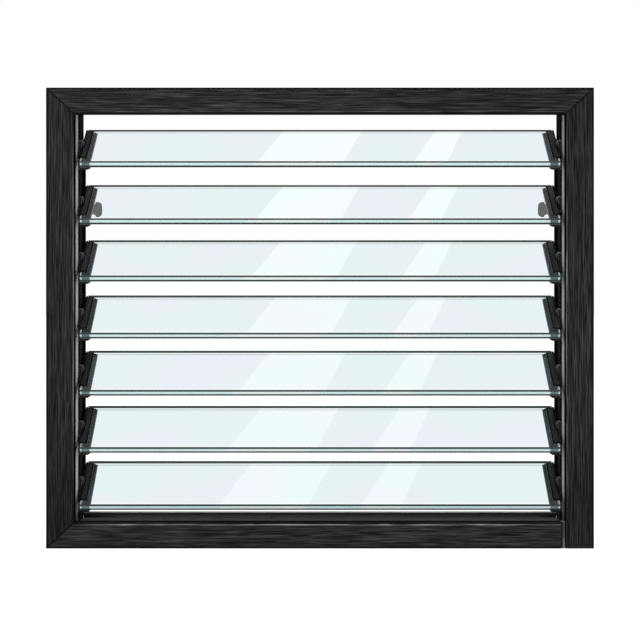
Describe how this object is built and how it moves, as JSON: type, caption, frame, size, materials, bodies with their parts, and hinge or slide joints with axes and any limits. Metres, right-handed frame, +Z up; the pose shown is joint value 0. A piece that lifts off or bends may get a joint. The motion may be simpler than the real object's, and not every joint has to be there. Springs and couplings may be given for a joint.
{
  "type": "glass louvre ventilator window",
  "caption": "Glass louvre ventilator window: dark woodgrain frame with tilting glass blades, held in end clips on side channels and linked by tie bars.",
  "frame": {"origin": "on the underside of the sill rail, at mid width and mid depth of the frame", "axes": "+X along the width, +Y from the front (weather side) to the back, +Z up"},
  "size_m": [0.85, 0.0943, 0.715],
  "materials": {
    "frame_foil": "hollow extrusion covered with a matt black woodgrain foil",
    "black_metal": "black satin coating",
    "grey_strip": "light grey matt plastic",
    "grey_rubber": "grey soft seal",
    "blade_glass": "clear glass with a green-blue tint at its ground edges",
    "clip_plastic": "black moulded plastic, satin",
    "knob_plastic": "black moulded plastic, satin"
  },
  "bodies": {
    "frame": {"head_rail": "frame_foil", "sill_rail": "frame_foil", "left_jamb": "frame_foil", "right_jamb": "frame_foil", "corner_filler": "grey_strip", "jamb_end_cap": "clip_plastic", "sill_tray": "frame_foil", "sill_seal": "grey_rubber", "left_channel": "black_metal", "right_channel": "black_metal", "left_cover_strip": "grey_strip", "right_cover_strip": "grey_strip"},
    "blade_1": {"blade_1_glass": "blade_glass", "blade_1_left_clip": "clip_plastic", "blade_1_right_clip": "clip_plastic"},
    "blade_2": {"blade_2_glass": "blade_glass", "blade_2_left_clip": "clip_plastic", "blade_2_right_clip": "clip_plastic", "left_knob": "knob_plastic", "right_knob": "knob_plastic"},
    "blade_3": {"blade_3_glass": "blade_glass", "blade_3_left_clip": "clip_plastic", "blade_3_right_clip": "clip_plastic"},
    "blade_4": {"blade_4_glass": "blade_glass", "blade_4_left_clip": "clip_plastic", "blade_4_right_clip": "clip_plastic"},
    "blade_5": {"blade_5_glass": "blade_glass", "blade_5_left_clip": "clip_plastic", "blade_5_right_clip": "clip_plastic"},
    "blade_6": {"blade_6_glass": "blade_glass", "blade_6_left_clip": "clip_plastic", "blade_6_right_clip": "clip_plastic"},
    "blade_7": {"blade_7_glass": "blade_glass", "blade_7_left_clip": "clip_plastic", "blade_7_right_clip": "clip_plastic"},
    "left_tie_bar": {"left_tie_bar": "black_metal"},
    "right_tie_bar": {"right_tie_bar": "black_metal"}
  },
  "joints": [
    {"name": "blade_2_turn", "type": "hinge", "parent": "frame", "child": "blade_2", "pos_m": [0, 0.005, 0.5365], "axis": [1, 0, 0], "range_deg": [-36, 39]},
    {"name": "blade_1_turn", "type": "hinge", "parent": "frame", "child": "blade_1", "pos_m": [0, 0.005, 0.6255], "axis": [1, 0, 0], "range_deg": [-36, 39]},
    {"name": "blade_3_turn", "type": "hinge", "parent": "frame", "child": "blade_3", "pos_m": [0, 0.005, 0.4475], "axis": [1, 0, 0], "range_deg": [-36, 39]},
    {"name": "blade_4_turn", "type": "hinge", "parent": "frame", "child": "blade_4", "pos_m": [0, 0.005, 0.3585], "axis": [1, 0, 0], "range_deg": [-36, 39]},
    {"name": "blade_5_turn", "type": "hinge", "parent": "frame", "child": "blade_5", "pos_m": [0, 0.005, 0.2695], "axis": [1, 0, 0], "range_deg": [-36, 39]},
    {"name": "blade_6_turn", "type": "hinge", "parent": "frame", "child": "blade_6", "pos_m": [0, 0.005, 0.1805], "axis": [1, 0, 0], "range_deg": [-36, 39]},
    {"name": "blade_7_turn", "type": "hinge", "parent": "frame", "child": "blade_7", "pos_m": [0, 0.005, 0.0915], "axis": [1, 0, 0], "range_deg": [-36, 39]},
    {"name": "left_tie_bar_pin", "type": "hinge", "parent": "blade_2", "child": "left_tie_bar", "pos_m": [0, 0.03493, 0.53441], "axis": [1, 0, 0], "range_deg": [-39, 36]},
    {"name": "right_tie_bar_pin", "type": "hinge", "parent": "blade_2", "child": "right_tie_bar", "pos_m": [0, 0.03493, 0.53441], "axis": [1, 0, 0], "range_deg": [-39, 36]}
  ],
  "couplings": [
    {"joint": "blade_1_turn", "follows": "blade_2_turn", "ratio": 1},
    {"joint": "blade_3_turn", "follows": "blade_2_turn", "ratio": 1},
    {"joint": "blade_4_turn", "follows": "blade_2_turn", "ratio": 1},
    {"joint": "blade_5_turn", "follows": "blade_2_turn", "ratio": 1},
    {"joint": "blade_6_turn", "follows": "blade_2_turn", "ratio": 1},
    {"joint": "blade_7_turn", "follows": "blade_2_turn", "ratio": 1},
    {"joint": "left_tie_bar_pin", "follows": "blade_2_turn", "ratio": -1},
    {"joint": "right_tie_bar_pin", "follows": "blade_2_turn", "ratio": -1}
  ]
}
